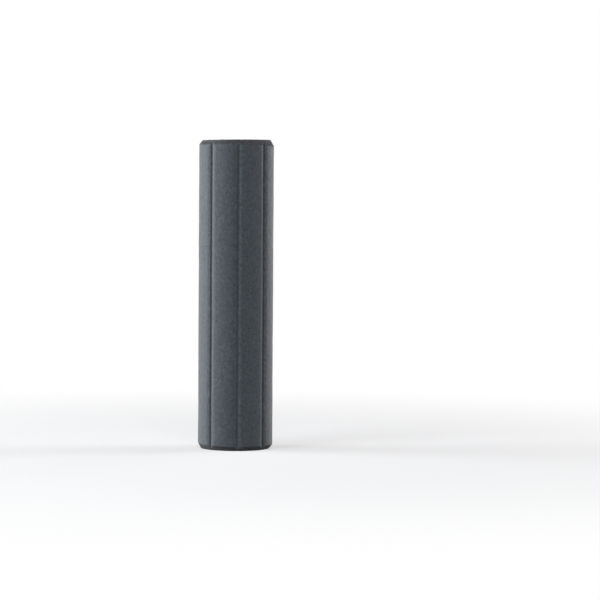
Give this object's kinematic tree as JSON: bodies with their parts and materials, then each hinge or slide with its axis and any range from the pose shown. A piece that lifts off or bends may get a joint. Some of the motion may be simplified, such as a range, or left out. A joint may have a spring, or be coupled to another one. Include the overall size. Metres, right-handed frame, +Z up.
{
  "type": "handlebar grip",
  "caption": "Slide-on handlebar grip: a round tube of silicone foam with lengthwise grooves, bevelled ends and a plain through bore.",
  "frame": {"origin": "middle of the lower end, on the surface that the grip stands on", "axes": "+Z up the bore, along the grip's length; -Y is the way one of the grooves faces"},
  "size_m": [0.0312, 0.0312, 0.13],
  "materials": {
    "silicone_foam": "matt dark grey silicone foam with a fine grain"
  },
  "bodies": {
    "root": {"foam_grip": "silicone_foam"}
  },
  "joints": []
}
